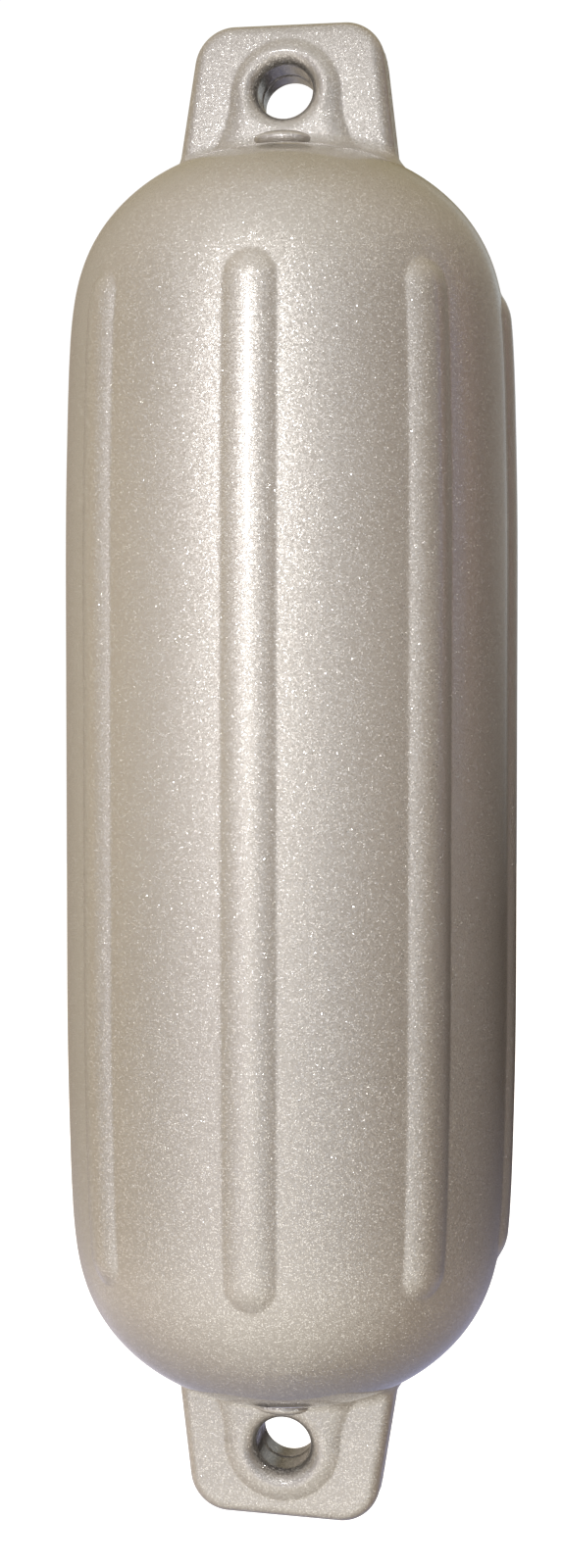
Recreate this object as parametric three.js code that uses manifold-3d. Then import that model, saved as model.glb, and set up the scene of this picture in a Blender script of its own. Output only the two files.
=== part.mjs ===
// Ribbed inflatable boat fender with a rope eye at each end, upright as it hangs.
// Millimetres, +Z up along the fender's axis, origin at the middle of the fender.
// The front face of the eyes looks towards -Y.
import * as THREE from "three";
import { mergeVertices } from "three/addons/utils/BufferGeometryUtils.js";
import { ParametricGeometry } from "three/addons/geometries/ParametricGeometry.js";
import Module from "manifold-3d";

// ---- driving dimensions -------------------------------------------------
const LENGTH = 553.2; // over both eyes
// Half profile of the shell between the ribs, from the middle to the pole: [z, radius]
const PROFILE = [
  [0, 82.5],
  [60, 82.5],
  [108, 82.1],
  [146.3, 81.3],
  [170.2, 79.45],
  [187, 76.0],
  [201, 68.85],
  [212, 58.0],
  [220.1, 47.05],
  [225.2, 37.15],
  [227.8, 23.4],
  [228.9, 0],
];
const RIB_COUNT = 8;
const RIB_HALF_WIDTH = 9.3; // at its foot
const RIB_HEIGHT = 2.5;
const RIB_TIP = 177; // the rib's round end, from the middle of the fender

const EYE_TAPER = 0.139; // growth of the half width for each mm towards the body
const EYE_CORNER = 15.3;
const EYE_THICK = 24;
const EYE_EDGE = 3.5; // rounding of the tab's edges
const EYE_LEAN = 0.02; // each eye stands a little askew, turned about Y, in radians
const HOLE_R = 10.2; // half of the rope hole's width
const HOLE_SQUASH = 0.95; // its height, as a share of its width
// The two eyes differ a little. Each is given as at the top end: how far it stands off the axis,
// the tab's half width at its outer edge if its corners were sharp, the centre and radius of the
// arch round the hole, the hole's centre and the height of the small lips at its foot.
const TOP_EYE = {
  shift: 0.9, half: 33.6, hub: [-0.4, 249.2], hubR: 20.3, hole: [-1.0, 251.3], lipZ: 231,
};
const BOTTOM_EYE = {
  shift: -0.5, half: 34.3, hub: [0.5, 246.9], hubR: 21.8, hole: [0.3, 247.9], lipZ: 230.2,
};
const LIP_WIDE = 6.4; // the roll of the hole's mouth into the hub
const LIP_DEEP = 6;
const HUB_THICK = 29.2;
const ROOT = 6.3; // height of the fillet between eye and dome

// Inflation valve, in the valley between two ribs at the back of the top dome
const VALVE_AZIMUTH = (67.5 * Math.PI) / 180;
const VALVE_R = 62; // its distance from the axis, on the dome
const VALVE_Z = 208.6;
const VALVE_TILT = (44.6 * Math.PI) / 180; // of its axis above the horizontal
const PAD_R = 11;
const PAD_H = 1.2;
const VALVE_BODY_R = 6.3;
const VALVE_DEPTH = 9;
const GAP = 0.3;

// ---- helpers ------------------------------------------------------------
const wasm = await Module();
wasm.setup();

// A closed geometry as a solid. A lathe's poles leave faces with two equal corners, which go.
function solid(geometry, matrix) {
  const g = new THREE.BufferGeometry().setAttribute(
    "position",
    (geometry.index ? geometry.toNonIndexed() : geometry).getAttribute(
      "position",
    ),
  );
  if (matrix) g.applyMatrix4(matrix);
  const merged = mergeVertices(g, 1e-4);
  const index = merged.index.array;
  const kept = [];
  for (let i = 0; i < index.length; i += 3) {
    const [a, b, c] = [index[i], index[i + 1], index[i + 2]];
    if (a !== b && b !== c && a !== c) kept.push(a, b, c);
  }
  const build = (tris) =>
    new wasm.Manifold(
      new wasm.Mesh({
        numProp: 3,
        vertProperties: merged.attributes.position.array,
        triVerts: new Uint32Array(tris),
      }),
    );
  const made = build(kept);
  if (made.volume() > 0) return made;
  for (let i = 0; i < kept.length; i += 3)
    [kept[i + 1], kept[i + 2]] = [kept[i + 2], kept[i + 1]];
  return build(kept);
}

function geometryOf(manifold) {
  const m = manifold.getMesh();
  const v = new Float32Array(m.numVert * 3);
  for (let i = 0; i < m.numVert; i++)
    v.set(m.vertProperties.subarray(i * m.numProp, i * m.numProp + 3), i * 3);
  const g = new THREE.BufferGeometry();
  g.setAttribute("position", new THREE.BufferAttribute(v, 3));
  g.setIndex(new THREE.BufferAttribute(new Uint32Array(m.triVerts), 1));
  return g;
}

function part(name, manifold, color, roughness, metalness) {
  const flat = geometryOf(manifold).toNonIndexed();
  flat.computeVertexNormals();
  const mesh = new THREE.Mesh(
    flat,
    new THREE.MeshStandardMaterial({ color, roughness, metalness }),
  );
  mesh.name = name;
  return mesh;
}

// ---- shell with its ribs ------------------------------------------------
// A smooth curve through the profile's knots, read as radius at a height.
const curve = new THREE.SplineCurve(
  PROFILE.map(([z, r]) => new THREE.Vector2(r, z)),
);
const fine = curve.getPoints(600);
function radiusAt(z) {
  const h = Math.abs(z);
  let i = fine.findIndex((p) => p.y >= h);
  if (i <= 0) return fine[i < 0 ? fine.length - 1 : 0].x;
  const a = fine[i - 1];
  const b = fine[i];
  return a.x + ((b.x - a.x) * (h - a.y)) / (b.y - a.y || 1);
}

const POLE = PROFILE[PROFILE.length - 1][0];
const half = [
  0, 100, RIB_TIP - RIB_HALF_WIDTH, 171.5, RIB_TIP, 187, 196, 205, 212.5, 218.5,
  223.5, 227.2,
];
const heights = [
  -POLE,
  ...half
    .slice(1)
    .reverse()
    .map((z) => -z),
  ...half,
  POLE,
];
const profile = heights.map(
  (z) => new THREE.Vector2(Math.abs(z) === POLE ? 0 : radiusAt(z), z),
);

// Angles across one rib and the valley beside it, in degrees from the rib's crown
const RIB_ANGLE = THREE.MathUtils.radToDeg(RIB_HALF_WIDTH / PROFILE[0][1]);
const across = [
  -22.5,
  -14.5,
  -RIB_ANGLE,
  -RIB_ANGLE * 0.72,
  -RIB_ANGLE * 0.38,
  0,
  RIB_ANGLE * 0.38,
  RIB_ANGLE * 0.72,
  RIB_ANGLE,
  14.5,
];
const PITCH = 360 / RIB_COUNT;

function shell() {
  const segments = RIB_COUNT * across.length;
  const g = new THREE.LatheGeometry(profile, segments);
  const p = g.getAttribute("position");
  const rows = profile.length;
  for (let i = 0; i <= segments; i++) {
    const offset = across[i % across.length];
    const rib = Math.floor((i % segments) / across.length);
    // ribs stand at -Y and every PITCH degrees from there
    const angle = THREE.MathUtils.degToRad(-90 + rib * PITCH + offset);
    for (let j = 0; j < rows; j++) {
      const { x: r, y: z } = profile[j];
      const arc = THREE.MathUtils.degToRad(offset) * PROFILE[0][1];
      const past = Math.max(0, Math.abs(z) - (RIB_TIP - RIB_HALF_WIDTH));
      const d = Math.hypot(arc, past) / RIB_HALF_WIDTH;
      const raised = r + RIB_HEIGHT * Math.max(0, 1 - d * d);
      p.setXYZ(
        i * rows + j,
        raised * Math.cos(angle),
        raised * Math.sin(angle),
        z,
      );
      if (r === 0) p.setXYZ(i * rows + j, 0, 0, z);
    }
  }
  return solid(g);
}

// ---- one eye, made at the top end ---------------------------------------
const END = LENGTH / 2;
const halfWidthAt = (eye, z) => eye.half + (END - z) * EYE_TAPER;
// Drawn in x and z, extruded through the thickness, and stood up along Y
const UPRIGHT = new THREE.Matrix4().makeRotationX(Math.PI / 2);

function slab(shape, thick, bevelThickness, bevelSize, bevelSegments, curves) {
  const g = new THREE.ExtrudeGeometry(shape, {
    depth: thick - 2 * bevelThickness,
    bevelEnabled: true,
    bevelThickness,
    bevelSize,
    bevelOffset: -bevelSize,
    bevelSegments,
    curveSegments: curves,
  });
  g.translate(0, 0, -(thick - 2 * bevelThickness) / 2);
  return solid(g, UPRIGHT);
}

function tab(eye) {
  const low = 204;
  const lean = Math.atan(EYE_TAPER);
  // centre of each corner's arc, tangent to the end edge and to the leaning side
  const cz = END - EYE_CORNER;
  const cx = halfWidthAt(eye, cz) - EYE_CORNER / Math.cos(lean);
  const s = new THREE.Shape();
  s.moveTo(-halfWidthAt(eye, low), low);
  s.lineTo(halfWidthAt(eye, low), low);
  s.absarc(cx, cz, EYE_CORNER, lean, Math.PI / 2, false);
  s.absarc(-cx, cz, EYE_CORNER, Math.PI / 2, Math.PI - lean, false);
  s.closePath();
  return slab(s, EYE_THICK, EYE_EDGE, EYE_EDGE, 3, 4);
}

function hub(eye) {
  const [x, z] = eye.hub;
  const r = eye.hubR;
  const s = new THREE.Shape();
  s.moveTo(x + 30, 212);
  s.lineTo(x + 29, 227);
  s.quadraticCurveTo(x + r + 1, 236, x + r, z);
  s.absarc(x, z, r, 0, Math.PI, false);
  s.quadraticCurveTo(x - r - 1, 236, x - 29, 227);
  s.lineTo(x - 30, 212);
  s.closePath();
  return slab(s, HUB_THICK, 2.6, 6.2, 2, 8);
}

function hole(eye) {
  const from = HUB_THICK / 2 - LIP_DEEP;
  const side = [];
  for (const a of [0, 25, 50, 74]) {
    const t = THREE.MathUtils.degToRad(a);
    side.push([
      HOLE_R + LIP_WIDE * (1 - Math.cos(t)),
      from + LIP_DEEP * Math.sin(t),
    ]);
  }
  side.push([HOLE_R + LIP_WIDE, HUB_THICK / 2 + 0.6]);
  side.push([0, HUB_THICK / 2 + 0.6]);
  const points = [
    ...side
      .slice()
      .reverse()
      .map(([r, y]) => new THREE.Vector2(r, -y)),
    ...side.map(([r, y]) => new THREE.Vector2(r, y)),
  ];
  // a lathe turns about Y, which is the hole's own direction
  return solid(
    new THREE.LatheGeometry(points, 24),
    new THREE.Matrix4()
      .makeTranslation(eye.hole[0], 0, eye.hole[1])
      .multiply(new THREE.Matrix4().makeScale(1, 1, HOLE_SQUASH)),
  );
}

// The dome's height at a distance from the axis
function domeAt(r) {
  const i = fine.findIndex((p) => p.y > 120 && p.x <= r);
  const a = fine[i - 1];
  const b = fine[i];
  return a.y + ((b.y - a.y) * (a.x - r)) / (a.x - b.x || 1);
}

// The concave fillet round the eye's foot: each ring is the eye's section grown by so much,
// standing so high over the dome
function root(eye) {
  const rings = [
    [-0.8, ROOT],
    [0.4, ROOT - 2.4],
    [2.0, ROOT - 4.4],
    [4.6, ROOT - 5.8],
    [7.5, ROOT - 7.6],
  ];
  const stops = [null, ...rings, null];
  const last = stops.length - 1;
  const g = new ParametricGeometry(
    (u, v, target) => {
      const k = Math.round(v * last);
      if (!stops[k]) return target.set(0, 0, k ? POLE - 20 : POLE + ROOT);
      const [grow, rise] = stops[k];
      const t = u * 2 * Math.PI;
      const [c, s] = [Math.cos(t), Math.sin(t)];
      const x =
        eye.shift +
        (halfWidthAt(eye, POLE) + grow) * Math.sign(c) * Math.abs(c) ** 0.36;
      const y =
        (EYE_THICK / 2 + grow) * Math.sign(s) * Math.abs(s) ** 0.36;
      target.set(x, y, domeAt(Math.hypot(x, y)) + rise);
    },
    32,
    last,
  );
  return solid(g);
}

// The small raised lip where the hub runs out on the dome, one on each side of the eye
function lip(side, eye) {
  return solid(
    new THREE.SphereGeometry(1, 10, 5),
    new THREE.Matrix4()
      .makeTranslation(eye.shift, side * 19.5, eye.lipZ)
      .multiply(new THREE.Matrix4().makeScale(10.4, 5.2, 2.9)),
  );
}

// Where an eye stands on the dome: turned by its lean about the pole and moved off the axis
const stand = (eye) =>
  new THREE.Matrix4()
    .makeTranslation(eye.shift, 0, POLE)
    .multiply(new THREE.Matrix4().makeRotationY(EYE_LEAN))
    .multiply(new THREE.Matrix4().makeTranslation(0, 0, -POLE)).elements;
const eyeAt = (eye) =>
  tab(eye)
    .add(hub(eye))
    .transform(stand(eye))
    .add(root(eye))
    .add(lip(-1, eye))
    .add(lip(1, eye));
const boreAt = (eye) => hole(eye).transform(stand(eye));
// Half a turn about Y takes an eye to the bottom end.
const below = [
  -1, 0, 0, 0, 0, 1, 0, 0, 0, 0, -1, 0, 0, 0, 0, 1,
];

// ---- valve --------------------------------------------------------------
const valveAxis = new THREE.Vector3(
  Math.cos(VALVE_TILT) * Math.cos(VALVE_AZIMUTH),
  Math.cos(VALVE_TILT) * Math.sin(VALVE_AZIMUTH),
  Math.sin(VALVE_TILT),
);
const valveFoot = new THREE.Vector3(
  VALVE_R * Math.cos(VALVE_AZIMUTH),
  VALVE_R * Math.sin(VALVE_AZIMUTH),
  VALVE_Z,
).addScaledVector(valveAxis, PAD_H); // the middle of the pad's face
const valvePlace = new THREE.Matrix4()
  .makeTranslation(valveFoot.x, valveFoot.y, valveFoot.z)
  .multiply(
    new THREE.Matrix4().makeRotationFromQuaternion(
      new THREE.Quaternion().setFromUnitVectors(
        new THREE.Vector3(0, 1, 0),
        valveAxis,
      ),
    ),
  );
// [radius, height over the pad's face], turned about the valve's axis
const turned = (points, segments) =>
  solid(
    new THREE.LatheGeometry(
      points.map(([r, h]) => new THREE.Vector2(r, h)),
      segments,
    ),
    valvePlace,
  );

const pad = turned(
  [
    [0, -6],
    [PAD_R, -6],
    [PAD_R, -0.8],
    [PAD_R - 0.9, 0],
    [0, 0],
  ],
  32,
);
const pocket = turned(
  [
    [0, -VALVE_DEPTH - GAP],
    [VALVE_BODY_R + GAP, -VALVE_DEPTH - GAP],
    [VALVE_BODY_R + GAP, 1],
    [0, 1],
  ],
  32,
);
const valveBody = turned(
  [
    [0, -VALVE_DEPTH],
    [VALVE_BODY_R - 0.6, -VALVE_DEPTH],
    [VALVE_BODY_R, -VALVE_DEPTH + 0.6],
    [VALVE_BODY_R, 0.4],
    [VALVE_BODY_R - 0.4, 0.8],
    [5.0, 0.8],
    [4.8, 0.6],
    [4.8, -3],
    [3, -3],
    [3, -7.5],
    [0, -7.5],
  ],
  32,
);
const valveSeal = solid(
  new THREE.TorusGeometry(3.75, 0.6, 8, 28),
  valvePlace
    .clone()
    .multiply(new THREE.Matrix4().makeTranslation(0, -2.1, 0))
    .multiply(new THREE.Matrix4().makeRotationX(Math.PI / 2)),
);
const slot = solid(
  new THREE.BoxGeometry(10, 2, 1.3),
  valvePlace
    .clone()
    .multiply(new THREE.Matrix4().makeRotationY(0.5))
    .multiply(new THREE.Matrix4().makeTranslation(0, 0.5, 0)),
);
const valveScrew = turned(
  [
    [0, -7.2],
    [2.2, -7.2],
    [2.7, -6.7],
    [2.7, -1.2],
    [4.5, -1.2],
    [4.5, 0.1],
    [4.1, 0.4],
    [0, 0.4],
  ],
  32,
).subtract(slot);

// ---- the whole ----------------------------------------------------------
const body = shell()
  .add(eyeAt(TOP_EYE))
  .add(eyeAt(BOTTOM_EYE).transform(below))
  .add(pad)
  .subtract(boreAt(TOP_EYE))
  .subtract(boreAt(BOTTOM_EYE).transform(below))
  .subtract(pocket);

const fender = new THREE.Group();
fender.add(
  part("fender_body", body, 0xb5aa99, 0.42, 0.35),
  part("valve_body", valveBody, 0x9d9384, 0.5, 0.0),
  part("valve_seal", valveSeal, 0x222222, 0.7, 0.0),
  part("valve_screw", valveScrew, 0x2b2a29, 0.45, 0.0),
);
export default fender;
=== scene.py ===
"""Ribbed boat fender with a rope eye at each end: pearl vinyl, hung upright, in soft studio light."""

import math

import bpy
import numpy as np
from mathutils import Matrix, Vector


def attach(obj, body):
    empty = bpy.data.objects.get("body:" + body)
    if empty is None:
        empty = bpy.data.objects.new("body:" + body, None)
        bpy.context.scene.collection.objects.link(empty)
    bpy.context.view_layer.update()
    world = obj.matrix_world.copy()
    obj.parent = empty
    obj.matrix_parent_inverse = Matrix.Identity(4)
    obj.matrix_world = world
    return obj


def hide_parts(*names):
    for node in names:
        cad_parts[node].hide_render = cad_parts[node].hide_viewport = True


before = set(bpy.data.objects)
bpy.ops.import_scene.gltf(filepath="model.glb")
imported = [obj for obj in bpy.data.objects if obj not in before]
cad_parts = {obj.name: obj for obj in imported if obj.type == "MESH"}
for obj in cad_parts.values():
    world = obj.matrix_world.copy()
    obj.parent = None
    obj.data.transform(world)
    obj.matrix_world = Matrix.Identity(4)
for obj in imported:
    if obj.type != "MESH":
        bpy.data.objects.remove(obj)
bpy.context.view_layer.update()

# ------------------------------------------------------------------ camera
# The eye stands a little to the right of the front and level with the fender's middle.
EYE = Vector((0.10931, -0.66869, 0.01833))
LOOK = Vector((-0.16521, 0.98580, -0.02993))
camera = bpy.data.objects.new("camera", bpy.data.cameras.new("camera"))
bpy.context.scene.collection.objects.link(camera)
camera.location = EYE
camera.rotation_euler = LOOK.to_track_quat("-Z", "Y").to_euler()
camera.data.sensor_width = 36.0
camera.data.lens = 41.52
camera.data.clip_start = 0.01
camera.data.clip_end = 100.0
bpy.context.scene.camera = camera

# ------------------------------------------------------------------ shape, in millimetres
RADIUS = 82.5  # of the shell between the ribs
STRAIGHT = 60.0  # half height over which it doesn't taper
POLE = 229.1
ARC = 220.879  # length of the meridian from there to the pole
# Curvature of the meridian, per metre, at stations along it, each a share of ARC
STATIONS = np.array([0, 40, 70, 90, 105, 118, 130, 142, 154, 166, 178, 192, 206, 222]) / 222
BEND = np.array([0, 0.67, 0.15, 1.29, 4.95, 11.7, 17.5, 17.9, 15.4, 14.9, 15.5, 13.9, 7.6, 2.0])

RIBS = 8
RIB_HALF = 9.3
RIB_HIGH = 2.48
RIB_TIP = 177.0
RIB_SOFT = 0.3  # how gently its foot runs into the shell

END = 276.55
TAPER = 0.139
CORNER = 15.3
EYE_HALF = 12.0  # half the tab's thickness
EDGE = 4.6
LEAN = 0.02  # each eye stands a little askew, turned about Y
HOLE_R = 10.2  # half of the rope hole's width
SQUASH = 0.95  # its height, as a share of its width
LIP_WIDE, LIP_DEEP = 6.4, 6.0  # roll of the hole's mouth
HUB_UP = 2.6
HUB_FLANK = 8.0
ROOT = 6.3
# The two eyes differ a little. Each is given as at the top end: how far it stands off the axis,
# the tab's half width at its outer edge, the arch's centre and radius, the hole's centre, and
# the height of the small lips at its foot.
TOP_EYE = dict(shift=0.9, half=33.6, hub=(-0.4, 249.2), hub_r=20.4, hole=(-1.0, 251.3), lip_z=231.0)
BOTTOM_EYE = dict(shift=-0.5, half=34.3, hub=(0.5, 246.9), hub_r=21.9, hole=(0.3, 247.9), lip_z=230.2)

VALVE_AZIMUTH = math.radians(67.5)
VALVE_TILT = math.radians(44.6)
VALVE_R, VALVE_Z = 62.0, 208.6
PAD_R, PAD_H = 11.0, 1.2
POCKET_R, POCKET_DEEP = 6.6, 9.3


def running(values, step):
    """Sum under evenly spaced samples, up to each of them."""
    return np.concatenate([[0.0], np.cumsum((values[1:] + values[:-1]) / 2) * step])


def make_meridian(samples=6001):
    s = np.linspace(0.0, ARC, samples)
    bend = np.interp(s / ARC, STATIONS, BEND) / 1000
    lean = running(bend, s[1])
    lean *= (math.pi / 2) / lean[-1]
    z = STRAIGHT + running(np.cos(lean), s[1])
    r = RADIUS - running(np.sin(lean), s[1])
    r = (r - r[-1]) * RADIUS / (RADIUS - r[-1])
    z = STRAIGHT + (z - STRAIGHT) * (POLE - STRAIGHT) / (z[-1] - STRAIGHT)
    return s, r, z, lean


ARC_S, ARC_RAD, ARC_Z, ARC_LEAN = make_meridian()
DOME_R, DOME_Z = ARC_RAD[::-1].copy(), ARC_Z[::-1].copy()
DOME_SLOPE = -1.0 / np.tan(np.maximum(ARC_LEAN[::-1], 1e-3))


def soft_min_round(a, b, radius):
    """Union of two distances with a concave fillet between them."""
    ua, ub = np.maximum(radius - a, 0), np.maximum(radius - b, 0)
    return np.maximum(radius, np.minimum(a, b)) - np.sqrt(ua * ua + ub * ub)


def soft_max_round(a, b, radius):
    """Intersection of two distances with a rounded edge between them."""
    ua, ub = np.maximum(radius + a, 0), np.maximum(radius + b, 0)
    return np.minimum(-radius, np.maximum(a, b)) + np.sqrt(ua * ua + ub * ub)


def outline(x, z, half):
    """Distance to the tab's outline in its own plane, negative inside."""
    lean = math.atan(TAPER)
    c, s = math.cos(lean), math.sin(lean)
    cz = END - CORNER
    cx = half + (END - cz) * TAPER - CORNER / c
    qx, qz = np.abs(x) - cx, z - cz
    side = qx * c + qz * s - CORNER
    top = qz - CORNER
    round_corner = (c * qz - s * qx > 0) & (qx > 0)
    return np.where(round_corner, np.hypot(qx, qz) - CORNER, np.maximum(side, top))


def legs(eye):
    """Heights, half widths and slopes of the arch's legs, from the hole's level down to the dome."""
    t = np.linspace(0, 1, 200)
    r, top = eye["hub_r"], eye["hub"][1]
    z = (1 - t) ** 2 * 227 + 2 * t * (1 - t) * 237.5 + t**2 * top
    x = (1 - t) ** 2 * 28.2 + 2 * t * (1 - t) * (r + 0.1) + t**2 * r
    return z, x, np.gradient(x, z)


def cap_field(p, eye):
    """Distance-like field of the top end: dome, eye, its fillet, hub and hole. Negative inside."""
    x, y, z = p[..., 0], p[..., 1], p[..., 2]
    r = np.hypot(x, y)
    slope = np.interp(r, DOME_R, DOME_SLOPE)
    dome = (z - np.interp(r, DOME_R, DOME_Z)) / np.sqrt(1 + slope * slope)

    # in the eye's own frame
    c, s = math.cos(LEAN), math.sin(LEAN)
    x, z = (x - eye["shift"]) * c - (z - POLE) * s, POLE + (z - POLE) * c + (x - eye["shift"]) * s

    # the mould's parting line runs round the tab's edge
    edge = outline(x, z, eye["half"]) + 0.3 - 0.3 * np.exp(-((y / 0.55) ** 2))
    inside = np.clip(-edge / 13.0, 0, 1)
    face = EYE_HALF - 0.75 * (1 - inside) ** 2
    hub_x, hub_z = eye["hub"]
    leg_z, leg_x, leg_slope = legs(eye)
    leg = (np.interp(z, leg_z, leg_x) - np.abs(x - hub_x)) / np.sqrt(
        1 + np.interp(z, leg_z, leg_slope) ** 2
    )
    u = np.where(z > hub_z, eye["hub_r"] - np.hypot(x - hub_x, z - hub_z), leg)
    u = 0.5 * (u + np.sqrt(u * u + 0.16))
    w = np.clip(u / HUB_FLANK, 0, 1)
    flank = 2 * HUB_UP / HUB_FLANK * (1 - w) * (u < HUB_FLANK) * (u > 0.05)
    face = face + HUB_UP * (1 - (1 - w) ** 2)
    tab = (np.abs(y) - face) / np.sqrt(1 + flank * flank * 0.8)
    tab = soft_max_round(tab, edge, EDGE)
    rho = np.hypot(x - eye["hole"][0], (z - eye["hole"][1]) / SQUASH)
    hole = (HOLE_R - 0.45 * np.exp(-(((y - 1.0) / 0.8) ** 2)) - rho) * (LIP_DEEP / LIP_WIDE)
    tab = soft_max_round(tab, hole, LIP_DEEP)
    field = soft_min_round(dome, tab, ROOT)

    # a small raised lip where the hub runs out on the dome, on each side
    up = z - eye["lip_z"]
    q = np.stack([x / 10.4, (np.abs(y) - 19.5) / 5.2, up / 2.9])
    g = np.stack([x / 10.4**2, (np.abs(y) - 19.5) / 5.2**2, up / 2.9**2])
    k0 = np.sqrt((q * q).sum(0))
    lens = k0 * (k0 - 1) / np.maximum(np.sqrt((g * g).sum(0)), 1e-6)
    return soft_min_round(field, np.minimum(lens, 30), 0.7)


def gradient(field, p, h=0.04):
    g = np.empty_like(p)
    for axis in range(3):
        step = np.zeros(3)
        step[axis] = h
        g[:, axis] = (field(p + step) - field(p - step)) / (2 * h)
    return g


def on_surface(field, p, rounds=4):
    """Points moved along the field's gradient on to the surface, with their normals."""
    p = p.copy()
    for _ in range(rounds):
        g = gradient(field, p)
        f = field(p)
        move = (f / np.maximum((g * g).sum(1), 1e-3))[:, None] * g
        length = np.linalg.norm(move, axis=1, keepdims=True)
        p -= move * np.minimum(1, 0.5 / np.maximum(length, 1e-9))
    g = gradient(field, p)
    return p, g / np.maximum(np.linalg.norm(g, axis=1, keepdims=True), 1e-9)


def surface_nets(values, xs, ys, zs):
    """Quads of the zero surface of values on a grid, with one vertex in each cell that it crosses."""
    axes = (xs, ys, zs)
    cells = tuple(n - 1 for n in values.shape)
    total = np.zeros(cells + (3,))
    count = np.zeros(cells, np.int16)
    crossings = []
    for a in range(3):
        lo = [slice(None)] * 3
        hi = [slice(None)] * 3
        lo[a], hi[a] = slice(0, -1), slice(1, None)
        v0, v1 = values[tuple(lo)], values[tuple(hi)]
        cross = (v0 < 0) != (v1 < 0)
        crossings.append((cross, v0 < 0))
        idx = np.argwhere(cross)
        t = v0[cross] / (v0[cross] - v1[cross])
        pos = np.stack([axes[b][idx[:, b]] for b in range(3)], 1)
        pos[:, a] += t * (axes[a][idx[:, a] + 1] - axes[a][idx[:, a]])
        b, c = [k for k in range(3) if k != a]
        for db in (0, 1):
            for dc in (0, 1):
                cell = idx.copy()
                cell[:, b] -= db
                cell[:, c] -= dc
                ok = np.all((cell >= 0) & (cell < np.array(cells)), axis=1)
                key = tuple(cell[ok].T)
                np.add.at(total, key, pos[ok])
                np.add.at(count, key, 1)
    number = np.full(cells, -1, np.int64)
    used = count > 0
    number[used] = np.arange(used.sum())
    points = total[used] / count[used][:, None]
    quads = []
    for a in range(3):
        cross, inside = crossings[a]
        b, c = (a + 1) % 3, (a + 2) % 3
        idx = np.argwhere(cross)
        keep = (idx[:, b] > 0) & (idx[:, b] < cells[b]) & (idx[:, c] > 0) & (idx[:, c] < cells[c])
        idx = idx[keep]
        out = inside[tuple(idx.T)]
        ring = []
        for db, dc in ((1, 1), (0, 1), (0, 0), (1, 0)):
            cell = idx.copy()
            cell[:, b] -= db
            cell[:, c] -= dc
            ring.append(number[tuple(cell.T)])
        q = np.stack(ring, 1)
        q[~out] = q[~out][:, ::-1]
        quads.append(q)
    return points, np.concatenate(quads)


def steps(*spans):
    """Grid lines from spans of (start, end, spacing)."""
    out = []
    for lo, hi, d in spans:
        n = max(1, int(round((hi - lo) / d)))
        out.append(np.linspace(lo, hi, n + 1)[:-1])
    out.append([spans[-1][1]])
    return np.concatenate(out)


def plain_mesh(name, points, faces):
    me = bpy.data.meshes.new(name)
    me.from_pydata((points / 1000).tolist(), [], [list(map(int, f)) for f in faces])
    me.update()
    return me


def mesh_arrays(me):
    me.calc_loop_triangles()
    co = np.empty(len(me.vertices) * 3, np.float32)
    me.vertices.foreach_get("co", co)
    tri = np.empty(len(me.loop_triangles) * 3, np.int32)
    me.loop_triangles.foreach_get("vertices", tri)
    return co.reshape(-1, 3).astype(float) * 1000, tri.reshape(-1, 3)


def open_loop(tris):
    """The one open edge loop of a triangle mesh, as vertex numbers in order, with its triangles on its left."""
    after = {}
    edges = set()
    for a, b, c in tris:
        edges.update(((a, b), (b, c), (c, a)))
    for a, b in edges:
        if (b, a) not in edges:
            after[a] = b
    start = next(iter(sorted(after)))
    loop, at = [start], after[start]
    while at != start:
        loop.append(at)
        at = after[at]
    return loop, len(after)


def zipper(a_ids, a_angles, b_ids, b_angles):
    """Triangles between two closed loops round the same axis, each given by rising angle."""
    tris = []
    i = j = 0
    na, nb = len(a_ids), len(b_ids)
    start = int(np.argmin(np.abs(np.angle(np.exp(1j * (b_angles - a_angles[0]))))))
    b_ids, b_angles = np.roll(b_ids, -start), np.roll(b_angles, -start)
    ta = np.unwrap(np.append(a_angles, a_angles[0] + 2 * math.pi))
    tb = np.unwrap(np.append(b_angles, b_angles[0] + 2 * math.pi))
    tb += 2 * math.pi * round((ta[0] - tb[0]) / (2 * math.pi))
    while i < na or j < nb:
        a0, b0 = a_ids[i % na], b_ids[j % nb]
        if j >= nb or (i < na and ta[i + 1] <= tb[j + 1]):
            tris.append((a0, a_ids[(i + 1) % na], b0))
            i += 1
        else:
            tris.append((a0, b_ids[(j + 1) % nb], b0))
            j += 1
    return np.array(tris)


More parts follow.
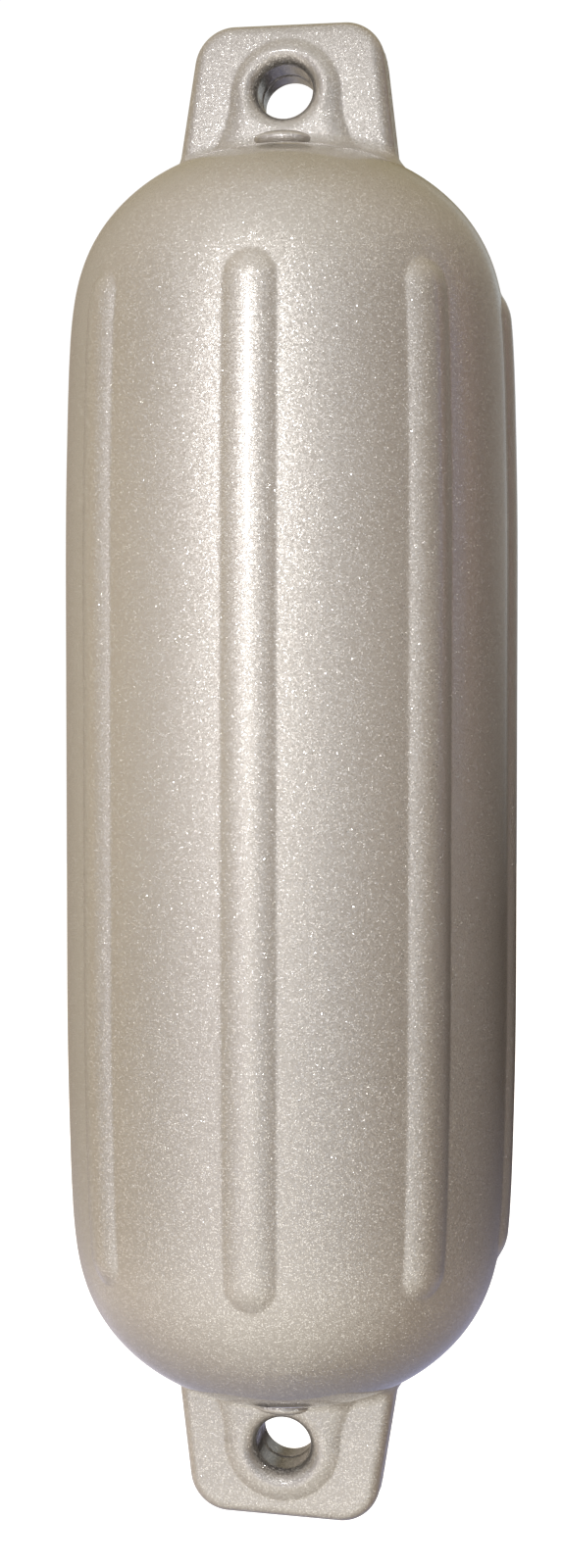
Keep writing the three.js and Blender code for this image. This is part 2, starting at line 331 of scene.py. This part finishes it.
# ---- one end, made at the top
def make_cap(eye):
    def field(p):
        return cap_field(p, eye)

    base = float(np.interp(48.5, DOME_R, DOME_Z))
    xs = steps((-54, -47, 1.1), (-47, 47, 0.68), (47, 54, 1.1))
    ys = steps((-54, -28, 1.5), (-28, -16, 0.75), (-16, 16, 0.66), (16, 28, 0.75), (28, 54, 1.5))
    zs = steps((base, 224, 1.0), (224, 279, 0.68))
    values = np.empty((len(xs), len(ys), len(zs)))
    for k in range(0, len(zs), 12):
        grid = np.stack(np.meshgrid(xs, ys, zs[k : k + 12], indexing="ij"), -1)
        values[:, :, k : k + 12] = field(grid)
    points, quads = surface_nets(values, xs, ys, zs)
    points, _ = on_surface(field, points)
    whole = plain_mesh("cap_whole", points, quads)
    carrier = bpy.data.objects.new("cap_whole", whole)
    bpy.context.scene.collection.objects.link(carrier)
    thin = carrier.modifiers.new("thin", "DECIMATE")
    thin.ratio = 0.62
    bpy.context.view_layer.update()
    dg = bpy.context.evaluated_depsgraph_get()
    light = bpy.data.meshes.new_from_object(carrier.evaluated_get(dg))
    points, tris = mesh_arrays(light)
    bpy.data.objects.remove(carrier)
    bpy.data.meshes.remove(whole)
    bpy.data.meshes.remove(light)
    points, normals = on_surface(field, points)
    loop, size = open_loop(tris)
    if len(loop) != size:
        raise RuntimeError(f"the end's mesh has {size} open edges and {len(loop)} in one loop")
    return points, tris, normals, np.array(loop), base


top_cap = make_cap(TOP_EYE)
bottom_cap = make_cap(BOTTOM_EYE)
CAP_BASE = top_cap[-1]

# ---- the shell as a grid of rows and columns
pitch = 2 * math.pi / RIBS
foot = RIB_HALF / RADIUS
one_side = [0.0, 0.14, 0.28, 0.42, 0.55, 0.67, 0.78, 0.87, 0.94, 1.0, 1.06, 1.14, 1.25, 1.42, 1.68, 2.05, 2.5, 3.0]
half_pitch = pitch / 2
across = np.array([-v * foot for v in one_side[:0:-1]] + [v * foot for v in one_side])
across = np.append(across, half_pitch)  # the middle of the valley
columns = np.concatenate([-math.pi / 2 + i * pitch + across for i in range(RIBS)])
last_s = float(np.interp(CAP_BASE - 0.9, ARC_Z, ARC_S))
s_at = lambda z: float(np.interp(z, ARC_Z, ARC_S))
upper = steps(
    (0.0, s_at(160.0), 10.5),
    (s_at(160.0), s_at(166.0), 2.0),
    (s_at(166.0), s_at(179.5), 0.72),
    (s_at(179.5), s_at(184.0), 1.3),
    (s_at(184.0), last_s, 2.1),
)
upper_z = np.concatenate([[0.0, 12.0, 24.0, 36.0, 48.0], np.interp(upper, ARC_S, ARC_Z)])
rows_z = np.concatenate([-upper_z[:0:-1], upper_z])


def shell_at(angle, z):
    """The ribbed shell by angle and height, top and bottom."""
    h = np.abs(z)
    r = np.where(h <= STRAIGHT, RADIUS, np.interp(h, ARC_Z, ARC_RAD))
    pitch_ = 2 * math.pi / RIBS
    off = (angle + math.pi / 2 + pitch_ / 2) % pitch_ - pitch_ / 2
    past = np.maximum(0.0, h - (RIB_TIP - RIB_HALF))
    d = np.hypot(off * RADIUS, past) / RIB_HALF
    q = RIB_HIGH * (1 - d * d)
    high = 0.5 * (q + np.sqrt(q * q + RIB_SOFT**2))
    fade = np.clip((d - 1.0) / 0.9, 0, 1)
    high = high * (1 - fade * fade * (3 - 2 * fade))
    r = r + high
    return np.stack([r * np.cos(angle), r * np.sin(angle), z + 0 * r], -1)


A, Z = np.meshgrid(columns, rows_z, indexing="xy")
grid = shell_at(A, Z)
da, dz = 2e-4, 0.02
along_a = shell_at(A + da, Z) - shell_at(A - da, Z)
along_z = shell_at(A, Z + dz) - shell_at(A, Z - dz)
grid_normals = np.cross(along_a, along_z)
grid_normals /= np.linalg.norm(grid_normals, axis=-1, keepdims=True)
n_rows, n_cols = A.shape
ids = np.arange(n_rows * n_cols).reshape(n_rows, n_cols)
nxt = np.roll(ids, -1, axis=1)
grid_quads = np.stack([ids[:-1], nxt[:-1], nxt[1:], ids[1:]], -1).reshape(-1, 4)
points = [grid.reshape(-1, 3)]
normals = [grid_normals.reshape(-1, 3)]

# ---- the valve's pad and pocket, in the valley between two ribs at the back of the top dome
axis = np.array(
    [
        math.cos(VALVE_TILT) * math.cos(VALVE_AZIMUTH),
        math.cos(VALVE_TILT) * math.sin(VALVE_AZIMUTH),
        math.sin(VALVE_TILT),
    ]
)
seat = np.array([VALVE_R * math.cos(VALVE_AZIMUTH), VALVE_R * math.sin(VALVE_AZIMUTH), VALVE_Z])
seat = seat + axis * PAD_H  # the middle of the pad's face
side_u = np.cross([0, 0, 1.0], axis)
side_u /= np.linalg.norm(side_u)
side_v = np.cross(axis, side_u)


def shell_field(p):
    """Distance to the unribbed dome above the straight part."""
    r, z = np.hypot(p[:, 0], p[:, 1]), p[:, 2]
    slope = np.interp(r, DOME_R, DOME_SLOPE)
    return (z - np.interp(r, DOME_R, DOME_Z)) / np.sqrt(1 + slope * slope)


def on_valve(rho, phi, h):
    return seat + rho * (np.cos(phi)[:, None] * side_u + np.sin(phi)[:, None] * side_v) + np.reshape(h, (-1, 1)) * axis


centre = points[0][grid_quads].mean(1)
local = centre - seat
away = local - (local @ axis)[:, None] * axis
near = (np.linalg.norm(away, axis=1) < 14.6) & (np.abs(local @ axis) < 25)
cut_faces = grid_quads[near]
grid_quads = grid_quads[~near]
edge_count = {}
for f in cut_faces:
    for a, b in zip(f, np.roll(f, -1)):
        edge_count[(int(a), int(b))] = True
rim = {b: a for (a, b) in edge_count if (b, a) not in edge_count}
start = sorted(rim)[0]
rim_loop, at = [start], rim[start]
while at != start:
    rim_loop.append(at)
    at = rim[at]
rim_loop = np.array(rim_loop)

SPOKES = 96
phi = np.arange(SPOKES) / SPOKES * 2 * math.pi


def dome_height(rho):
    """Height of the dome under each spoke, from the pad's face."""
    h = np.full(SPOKES, -1.5)
    for _ in range(12):
        p = on_valve(rho, phi, h)
        h = h - shell_field(p) / np.maximum(gradient(shell_field, p) @ axis, 0.2)
    return h


ring_plan = [  # radius, height over the pad's face, and share of that height counted from the dome
    (POCKET_R, -POCKET_DEEP, 0),
    (POCKET_R, -0.45, 0),
    (POCKET_R + 0.12, -0.15, 0),
    (POCKET_R + 0.42, 0.0, 0),
    (8.6, 0.0, 0),
    (PAD_R - 1.0, 0.0, 0),
    (PAD_R - 0.45, -0.12, 0),
    (PAD_R - 0.12, -0.42, 0),
    (PAD_R, -0.85, 0),
    (PAD_R + 0.12, 0.35, 1),
    (PAD_R + 0.5, 0.1, 1),
    (PAD_R + 1.2, 0.0, 1),
    (PAD_R + 1.9, 0.0, 1),
]
base_id = n_rows * n_cols
ring_points, ring_ids = [], []
for rho, h, from_dome in ring_plan:
    heights = dome_height(rho) + h if from_dome else np.full(SPOKES, h)
    if not from_dome and rho > PAD_R - 0.2:
        heights = np.maximum(heights, dome_height(rho) + 0.35)
    ring_points.append(on_valve(rho, phi, heights))
    ring_ids.append(base_id + np.arange(SPOKES))
    base_id += SPOKES
bottom_id = base_id
base_id += 1
rings = np.array(ring_points)
ring_normals = np.empty_like(rings)
for k in range(len(rings)):
    lo, hi = max(k - 1, 0), min(k + 1, len(rings) - 1)
    out = rings[hi] - rings[lo]
    round_ = np.roll(rings[k], -1, 0) - np.roll(rings[k], 1, 0)
    n = np.cross(out, round_)
    ring_normals[k] = n / np.linalg.norm(n, axis=1, keepdims=True)
ring_normals[0] = -(rings[0] - seat - ((rings[0] - seat) @ axis)[:, None] * axis) / POCKET_R
ring_normals[1] = ring_normals[0]
ring_normals[-1] = gradient(shell_field, rings[-1])
ring_normals[-1] /= np.linalg.norm(ring_normals[-1], axis=1, keepdims=True)
if (ring_normals[4] @ axis).mean() < 0:
    ring_normals[2:-1] *= -1
points += [rings.reshape(-1, 3), (seat - axis * POCKET_DEEP)[None]]
normals += [ring_normals.reshape(-1, 3), axis[None]]
valve_tris = []
for k in range(len(rings) - 1):
    a, b = ring_ids[k], ring_ids[k + 1]
    an, bn = np.roll(a, -1), np.roll(b, -1)
    valve_tris += [np.stack([a, b, bn], 1), np.stack([a, bn, an], 1)]
first = ring_ids[0]
valve_tris.append(np.stack([np.full(SPOKES, bottom_id), first, np.roll(first, -1)], 1))
rim_local = points[0][rim_loop] - seat
rim_angle = np.arctan2(rim_local @ side_v, rim_local @ side_u)
if np.unwrap(rim_angle)[-1] < rim_angle[0]:
    rim_loop, rim_angle = rim_loop[::-1], rim_angle[::-1]
valve_tris.append(zipper(ring_ids[-1], phi, rim_loop, rim_angle)[:, ::-1])
valve_tris = np.concatenate(valve_tris)

# ---- both ends, and the strips that join them to the shell
turn = np.array([-1.0, 1.0, -1.0])
faces = [np.array(grid_quads)]
extra = [valve_tris]
for flip, (cap_points, cap_tris, cap_normals, cap_loop, _) in ((False, top_cap), (True, bottom_cap)):
    p = cap_points * turn if flip else cap_points
    n = cap_normals * turn if flip else cap_normals
    points.append(p)
    normals.append(n)
    extra.append(cap_tris + base_id)
    row = ids[0] if flip else ids[-1]
    loop = cap_loop + base_id
    where = p[cap_loop]
    angle = np.arctan2(where[:, 1], where[:, 0])
    if np.unwrap(angle)[-1] < np.unwrap(angle)[0]:
        loop, angle = loop[::-1], angle[::-1]
    strip = zipper(row, columns, loop, angle)
    extra.append(strip if not flip else strip[:, ::-1])
    base_id += len(p)
points = np.concatenate(points)
normals = np.concatenate(normals)
extra = np.concatenate(extra)

# every strip faces outwards
def facing_out(tris):
    c = points[tris]
    n = np.cross(c[:, 1] - c[:, 0], c[:, 2] - c[:, 0])
    m = normals[tris].sum(1)
    wrong = (n * m).sum(1) < 0
    return wrong


wrong = facing_out(extra)
if wrong.any() or len(extra) + 2 * len(grid_quads) > 199000:
    print("shell triangles", len(extra) + 2 * len(grid_quads), "turned", int(wrong.sum()))

body_mesh = bpy.data.meshes.new("fender_shell")
body_mesh.from_pydata(
    (points / 1000).tolist(), [], [list(map(int, f)) for f in grid_quads] + [list(map(int, f)) for f in extra]
)
body_mesh.update()
body_mesh.polygons.foreach_set("use_smooth", np.ones(len(body_mesh.polygons), bool))
body_mesh.normals_split_custom_set_from_vertices(normals.tolist())
fender = bpy.data.objects.new("fender_shell", body_mesh)
bpy.context.scene.collection.objects.link(fender)


# ------------------------------------------------------------------ materials
def tree(name):
    mat = bpy.data.materials.new(name)
    mat.use_nodes = True
    nt = mat.node_tree
    nt.nodes.clear()
    out = nt.nodes.new("ShaderNodeOutputMaterial")
    shader = nt.nodes.new("ShaderNodeBsdfPrincipled")
    nt.links.new(shader.outputs[0], out.inputs[0])
    return mat, nt, shader


def node(nt, kind, **values):
    n = nt.nodes.new(kind)
    for key, value in values.items():
        if hasattr(n, key) and key not in n.inputs:
            setattr(n, key, value)
        else:
            n.inputs[key].default_value = value
    return n


def math_node(nt, operation, a, b=None, clamp=False):
    n = nt.nodes.new("ShaderNodeMath")
    n.operation = operation
    n.use_clamp = clamp
    for i, v in enumerate((a, b)):
        if v is None:
            continue
        if isinstance(v, (int, float)):
            n.inputs[i].default_value = v
        else:
            nt.links.new(v, n.inputs[i])
    return n.outputs[0]


def vector_node(nt, operation, a, b=None, scale=None):
    n = nt.nodes.new("ShaderNodeVectorMath")
    n.operation = operation
    for i, v in enumerate((a, b)):
        if v is None:
            continue
        if isinstance(v, (tuple, list)):
            n.inputs[i].default_value = v
        else:
            nt.links.new(v, n.inputs[i])
    if scale is not None:
        if isinstance(scale, (int, float)):
            n.inputs["Scale"].default_value = scale
        else:
            nt.links.new(scale, n.inputs["Scale"])
    return n.outputs[0]


def ramp(nt, fac, stops, interpolation="LINEAR"):
    n = nt.nodes.new("ShaderNodeValToRGB")
    n.color_ramp.interpolation = interpolation
    e = n.color_ramp.elements
    while len(e) > 1:
        e.remove(e[-1])
    e[0].position, e[0].color = stops[0][0], stops[0][1]
    for pos, col in stops[1:]:
        x = e.new(pos)
        x.color = col
    nt.links.new(fac, n.inputs[0])
    return n.outputs[0]


def grey(v, a=1.0):
    return (v, v, v, a)


def hole_at(eye):
    """Where an eye's hole is, in metres, with the eye at the top end."""
    c, s = math.cos(LEAN), math.sin(LEAN)
    x, up = eye["hole"][0], eye["hole"][1] - POLE
    return (eye["shift"] + x * c + up * s) / 1000, (POLE + up * c - x * s) / 1000


HOLES = [hole_at(TOP_EYE), tuple(-v for v in hole_at(BOTTOM_EYE))]


def pearl(name, base=(0.36, 0.318, 0.268)):
    """Vinyl with bright flake in it, each grain leaning its own way, under a clear gloss skin."""
    mat, nt, shader = tree(name)
    place = nt.nodes.new("ShaderNodeTexCoord").outputs["Object"]
    smooth = nt.nodes.new("ShaderNodeNewGeometry").outputs["Normal"]

    # fine flake, everywhere
    fine = node(nt, "ShaderNodeTexVoronoi", feature="F1", Scale=2300.0)
    nt.links.new(place, fine.inputs["Vector"])
    lean = vector_node(nt, "SUBTRACT", fine.outputs["Color"], (0.5, 0.5, 0.5))
    lean = vector_node(nt, "SCALE", lean, scale=0.24)

    # larger flakes, most of them lying nearly flat and a few well out of line
    coarse = node(nt, "ShaderNodeTexVoronoi", feature="F1", Scale=1900.0)
    nt.links.new(place, coarse.inputs["Vector"])
    pick = nt.nodes.new("ShaderNodeSeparateColor")
    nt.links.new(coarse.outputs["Color"], pick.inputs[0])
    dot = math_node(nt, "LESS_THAN", coarse.outputs["Distance"], 0.40)
    dot = math_node(nt, "MULTIPLY", dot, math_node(nt, "GREATER_THAN", pick.outputs[0], 0.35))
    steep = math_node(nt, "MULTIPLY_ADD", math_node(nt, "GREATER_THAN", pick.outputs[0], 0.88), 0.60)
    steep.node.inputs[2].default_value = 0.33
    spin = node(nt, "ShaderNodeTexWhiteNoise", noise_dimensions="3D")
    nt.links.new(coarse.outputs["Position"], spin.inputs["Vector"])
    big = vector_node(nt, "SUBTRACT", spin.outputs["Color"], (0.5, 0.5, 0.5))
    big = vector_node(nt, "SCALE", big, scale=math_node(nt, "MULTIPLY", dot, steep))
    tilt = vector_node(nt, "ADD", lean, big)
    normal = vector_node(nt, "NORMALIZE", vector_node(nt, "ADD", smooth, tilt))
    nt.links.new(normal, shader.inputs["Normal"])

    # colour: a little cloudiness in the moulding, flakes paler than the vinyl
    cloud = node(nt, "ShaderNodeTexNoise", Scale=9.0, Detail=3.0, Roughness=0.55)
    nt.links.new(place, cloud.inputs["Vector"])
    shade = math_node(nt, "MULTIPLY_ADD", cloud.outputs["Fac"], 0.05)
    shade.node.inputs[2].default_value = 0.975
    fine_pick = nt.nodes.new("ShaderNodeSeparateColor")
    nt.links.new(fine.outputs["Color"], fine_pick.inputs[0])
    speck = math_node(nt, "MULTIPLY_ADD", fine_pick.outputs[1], 0.10)
    speck.node.inputs[2].default_value = 0.95
    level = math_node(nt, "MULTIPLY", shade, speck)
    # painted shade: the base colour is darkened inside the rope holes and on the roll of their mouths, standing in for
    # the shade in the bore
    axes = nt.nodes.new("ShaderNodeSeparateXYZ")
    nt.links.new(place, axes.inputs[0])
    bore = None
    for x, z in HOLES:
        dx = math_node(nt, "SUBTRACT", axes.outputs[0], x)
        dz = math_node(nt, "DIVIDE", math_node(nt, "SUBTRACT", axes.outputs[2], z), SQUASH)
        far = math_node(nt, "SQRT", math_node(nt, "ADD", math_node(nt, "MULTIPLY", dx, dx), math_node(nt, "MULTIPLY", dz, dz)))
        bore = far if bore is None else math_node(nt, "MINIMUM", bore, far)
    # painted shade: 0.22 of the colour within 10.1 mm of a hole's axis, full colour from 12.8 mm out
    edge = node(nt, "ShaderNodeMapRange", interpolation_type="SMOOTHSTEP")
    nt.links.new(bore, edge.inputs["Value"])
    for key_, value in (("From Min", 0.0101), ("From Max", 0.0128), ("To Min", 0.22), ("To Max", 1.0)):
        edge.inputs[key_].default_value = value
    level = math_node(nt, "MULTIPLY", level, edge.outputs["Result"])
    colour = vector_node(nt, "SCALE", base, scale=level)
    mix = nt.nodes.new("ShaderNodeMix")
    mix.data_type = "RGBA"
    nt.links.new(dot, mix.inputs[0])
    nt.links.new(colour, mix.inputs[6])
    mix.inputs[7].default_value = (0.84, 0.81, 0.76, 1)
    nt.links.new(mix.outputs[2], shader.inputs["Base Color"])
    rough = math_node(nt, "MULTIPLY_ADD", dot, -0.21)
    rough.node.inputs[2].default_value = 0.43
    nt.links.new(rough, shader.inputs["Roughness"])
    nt.links.new(math_node(nt, "MULTIPLY", dot, 0.3), shader.inputs["Metallic"])
    shader.inputs["IOR"].default_value = 3.1
    shader.inputs["Coat Weight"].default_value = 1.0
    shader.inputs["Coat Roughness"].default_value = 0.05
    shader.inputs["Coat IOR"].default_value = 1.5
    return mat


vinyl = pearl("pearl_vinyl")
fender.data.materials.append(vinyl)
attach(fender, "root")
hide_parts("fender_body")


def plastic(name, colour, rough, bump=0.00003, scale=900.0):
    mat, nt, shader = tree(name)
    place = nt.nodes.new("ShaderNodeTexCoord").outputs["Object"]
    noise = node(nt, "ShaderNodeTexNoise", Scale=scale, Detail=4.0)
    nt.links.new(place, noise.inputs["Vector"])
    shade = math_node(nt, "MULTIPLY_ADD", noise.outputs["Fac"], 0.18)
    shade.node.inputs[2].default_value = 0.91
    nt.links.new(vector_node(nt, "SCALE", colour, scale=shade), shader.inputs["Base Color"])
    level = math_node(nt, "MULTIPLY_ADD", noise.outputs["Fac"], 0.12)
    level.node.inputs[2].default_value = rough - 0.06
    nt.links.new(level, shader.inputs["Roughness"])
    b = nt.nodes.new("ShaderNodeBump")
    b.inputs["Distance"].default_value = bump
    b.inputs["Strength"].default_value = 0.6
    nt.links.new(noise.outputs["Fac"], b.inputs["Height"])
    nt.links.new(b.outputs[0], shader.inputs["Normal"])
    return mat


looks = {
    "valve_body": plastic("valve_plastic", (0.33, 0.29, 0.24), 0.42),
    "valve_seal": plastic("seal_rubber", (0.02, 0.02, 0.02), 0.6),
    "valve_screw": plastic("screw_plastic", (0.035, 0.034, 0.033), 0.36),
}
for name, mat in looks.items():
    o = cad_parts[name]
    if not o.material_slots:
        o.data.materials.append(mat)
    for sl in o.material_slots:
        sl.material = mat

# ------------------------------------------------------------------ stage
FLOOR_Z = -0.62


def floor_mat():
    mat, nt, shader = tree("floor_paint")
    place = nt.nodes.new("ShaderNodeTexCoord").outputs["Object"]
    noise = node(nt, "ShaderNodeTexNoise", Scale=1.2, Detail=2.0)
    nt.links.new(place, noise.inputs["Vector"])
    shade = math_node(nt, "MULTIPLY_ADD", noise.outputs["Fac"], 0.02)
    shade.node.inputs[2].default_value = 0.97
    nt.links.new(vector_node(nt, "SCALE", (0.9, 0.9, 0.9), scale=shade), shader.inputs["Base Color"])
    shader.inputs["Roughness"].default_value = 0.9
    shader.inputs["Emission Color"].default_value = (1, 1, 1, 1)
    shader.inputs["Emission Strength"].default_value = 0.85
    return mat


floor_mesh = bpy.data.meshes.new("floor")
ring = [(8 * math.cos(2 * math.pi * i / 96), 8 * math.sin(2 * math.pi * i / 96), FLOOR_Z) for i in range(96)]
floor_mesh.from_pydata(ring, [], [list(range(96))])
floor = bpy.data.objects.new("floor", floor_mesh)
bpy.context.scene.collection.objects.link(floor)
floor.data.materials.append(floor_mat())
floor.visible_glossy = False
floor.visible_diffuse = False

# ------------------------------------------------------------------ light
world = bpy.data.worlds.new("studio")
bpy.context.scene.world = world
world.use_nodes = True
wt = world.node_tree
wt.nodes.clear()
w_out = wt.nodes.new("ShaderNodeOutputWorld")
rays = wt.nodes.new("ShaderNodeLightPath")
seen = wt.nodes.new("ShaderNodeBackground")
seen.inputs[0].default_value = (1, 1, 1, 1)
seen.inputs[1].default_value = 1.05
room = wt.nodes.new("ShaderNodeBackground")
choose = wt.nodes.new("ShaderNodeMixShader")
wt.links.new(rays.outputs["Is Camera Ray"], choose.inputs[0])
wt.links.new(room.outputs[0], choose.inputs[1])
wt.links.new(seen.outputs[0], choose.inputs[2])
wt.links.new(choose.outputs[0], w_out.inputs[0])
# Round the room by compass angle: 0 at the back (+Y), 0.5 in front (-Y), 0.25 at the left (-X), 0.75 at the right (+X)
way = wt.nodes.new("ShaderNodeTexCoord").outputs["Generated"]
part = wt.nodes.new("ShaderNodeSeparateXYZ")
wt.links.new(way, part.inputs[0])
turn_angle = math_node(wt, "ARCTAN2", part.outputs[0], math_node(wt, "MULTIPLY", part.outputs[1], -1.0))
round_room = math_node(wt, "MULTIPLY_ADD", turn_angle, 1 / (2 * math.pi))
round_room.node.inputs[2].default_value = 0.5
# and by height: level with the fender, over it and under it
height = math_node(wt, "MULTIPLY_ADD", part.outputs[2], 0.5)
height.node.inputs[2].default_value = 0.5
ROOM_STRENGTH = 1.5
LEVEL = [  # degrees round the room, from the front (0) towards +X, and the light's colour there
    (-180, (0.14, 0.10, 0.06)),
    (-165, (0.48, 0.42, 0.34)),
    (-150, (0.40, 0.33, 0.26)),
    (-120, (0.49, 0.43, 0.32)),
    (-90, (0.39, 0.29, 0.13)),
    (-60, (0.18, 0.19, 0.20)),
    (-30, (0.75, 0.71, 0.78)),
    (0, (1.10, 1.07, 1.08)),
    (30, (0.36, 0.40, 0.48)),
    (60, (0.08, 0.04, 0.02)),
    (80, (0.00, 0.00, 0.00)),
    (155, (0.00, 0.00, 0.00)),
    (180, (0.14, 0.10, 0.06)),
]
RIGHT = [  # the coloured bands that its right side mirrors
    (92, (0.00, 0.00, 0.00)),
    (102, (0.06, 0.09, 0.40)),
    (112, (0.27, 0.11, 0.05)),
    (124, (0.04, 0.01, 0.00)),
    (138, (0.21, 0.19, 0.17)),
    (152, (0.36, 0.33, 0.29)),
    (166, (0.58, 0.64, 0.68)),
    (180, (0.00, 0.00, 0.00)),
]
OVER = [
    (-180, (0.33, 0.27, 0.12)),
    (-90, (0.67, 0.59, 0.49)),
    (-30, (0.89, 0.86, 0.82)),
    (30, (0.83, 0.80, 0.73)),
    (90, (0.55, 0.47, 0.36)),
    (180, (0.33, 0.27, 0.12)),
]
UNDER = [
    (-180, (0.37, 0.39, 0.56)),
    (-90, (0.86, 0.74, 0.65)),
    (-30, (1.50, 1.42, 1.28)),
    (30, (1.28, 1.20, 1.05)),
    (90, (0.35, 0.25, 0.16)),
    (180, (0.37, 0.39, 0.56)),
]


def band(stops, heights):
    """One band of the room's light: its colours round the room, times its share at each height."""
    round_ = ramp(wt, round_room, [(d / 360 + 0.5, tuple(v / ROOM_STRENGTH for v in c) + (1,)) for d, c in stops])
    share = ramp(wt, height, [(z * 0.5 + 0.5, grey(v)) for z, v in heights])
    return vector_node(wt, "MULTIPLY", round_, share)


bands = vector_node(
    wt,
    "ADD",
    band(LEVEL, [(-0.7, 0), (-0.2, 1), (0.2, 1), (0.7, 0)]),
    vector_node(
        wt,
        "ADD",
        band(RIGHT, [(-0.1, 0), (0.1, 1), (0.2, 1), (0.7, 0)]),
        vector_node(
            wt,
            "ADD",
            band(OVER, [(0.2, 0), (0.7, 1)]),
            band(UNDER, [(-1.0, 0.55), (-0.75, 0.8), (-0.45, 1), (-0.2, 0)]),
        ),
    ),
)
wt.links.new(bands, room.inputs[0])
room.inputs[1].default_value = ROOM_STRENGTH


def panel(name, azimuth, elevation, distance, width, height, watts, colour=(1, 1, 1), aim=(0, 0, 0)):
    """A soft light. azimuth 0 is straight in front (-Y), and grows towards +X."""
    a, e = math.radians(azimuth), math.radians(elevation)
    at = Vector(aim) + distance * Vector((math.sin(a) * math.cos(e), -math.cos(a) * math.cos(e), math.sin(e)))
    data = bpy.data.lights.new(name, "AREA")
    data.shape = "RECTANGLE"
    data.size, data.size_y = width, height
    data.energy = watts
    data.color = colour
    o = bpy.data.objects.new(name, data)
    bpy.context.scene.collection.objects.link(o)
    o.location = at
    o.rotation_euler = (Vector(aim) - at).to_track_quat("-Z", "Y").to_euler()
    return o


panel("far_key", -10.75, 10.5, 3.6, 0.30, 0.44, 9.5, (1.0, 0.97, 0.92), aim=(0, 0, 0.05))
key = panel("key", -10.75, 24.0, 0.9, 0.09, 0.13, 0.158, (1.0, 0.97, 0.93), aim=(0, -0.08, 0.04))
key.data.spread = math.radians(32)
back = panel("back", -171.0, 32.0, 2.5, 1.6, 1.6, 14.0)  # lights the back for the other views
back.visible_glossy = False

scene = bpy.context.scene
scene.view_settings.view_transform = "Standard"
scene.view_settings.look = "None"
scene.view_settings.exposure = 0.0
scene.view_settings.gamma = 1.0
